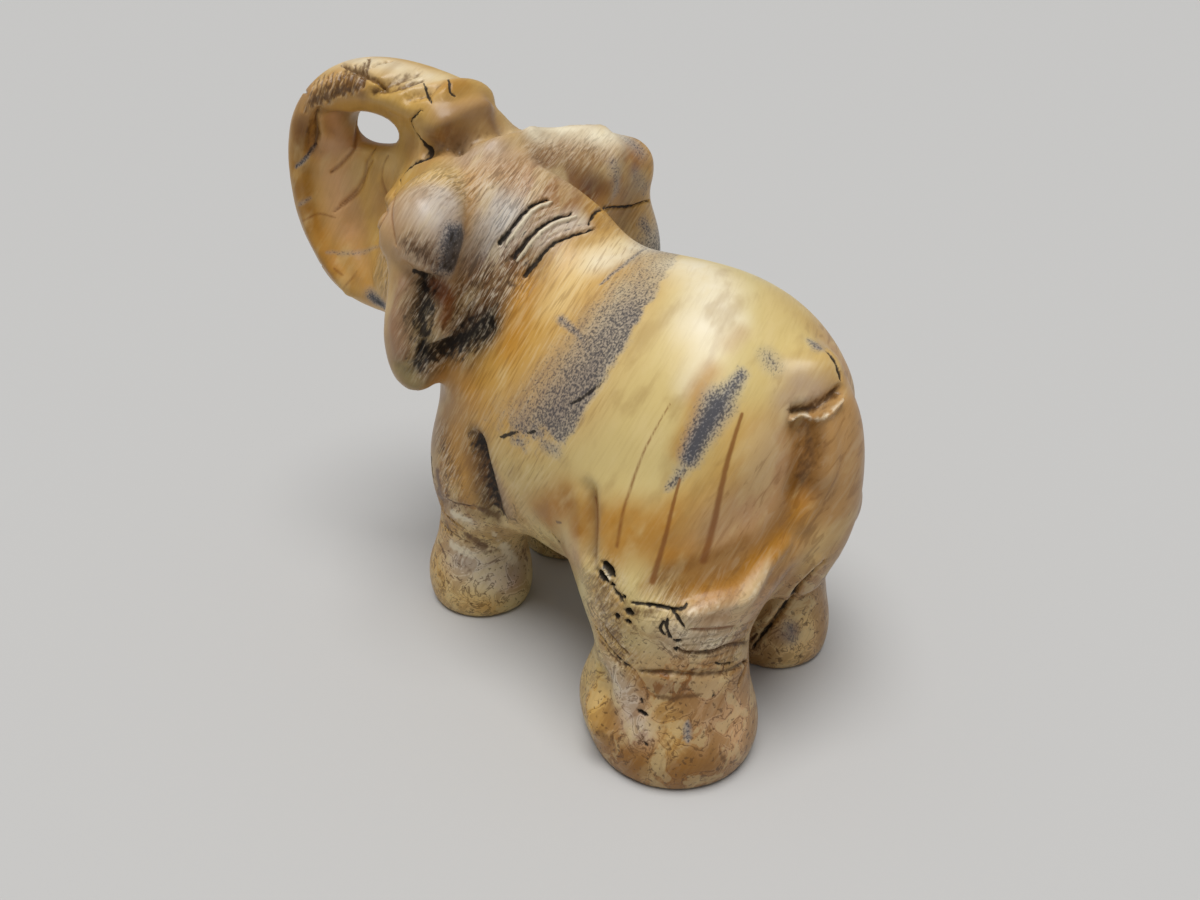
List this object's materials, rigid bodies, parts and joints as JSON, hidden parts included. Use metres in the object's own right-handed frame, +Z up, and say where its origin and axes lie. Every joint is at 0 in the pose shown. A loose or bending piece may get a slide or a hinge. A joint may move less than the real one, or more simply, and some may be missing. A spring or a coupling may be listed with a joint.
{
  "type": "elephant figurine",
  "caption": "Small standing elephant carved from banded agate, its trunk curled up and back to the forehead in an open loop.",
  "frame": {"origin": "middle of the figure's bounding box, on the ground plane that the feet stand on", "axes": "+Z up; the elephant faces -Y and its left side is +X"},
  "size_m": [0.035, 0.0582, 0.0499],
  "materials": {
    "stone": "satin polish over a banded golden, cream and grey-blue stone"
  },
  "bodies": {
    "root": {"elephant": "stone"}
  },
  "joints": []
}
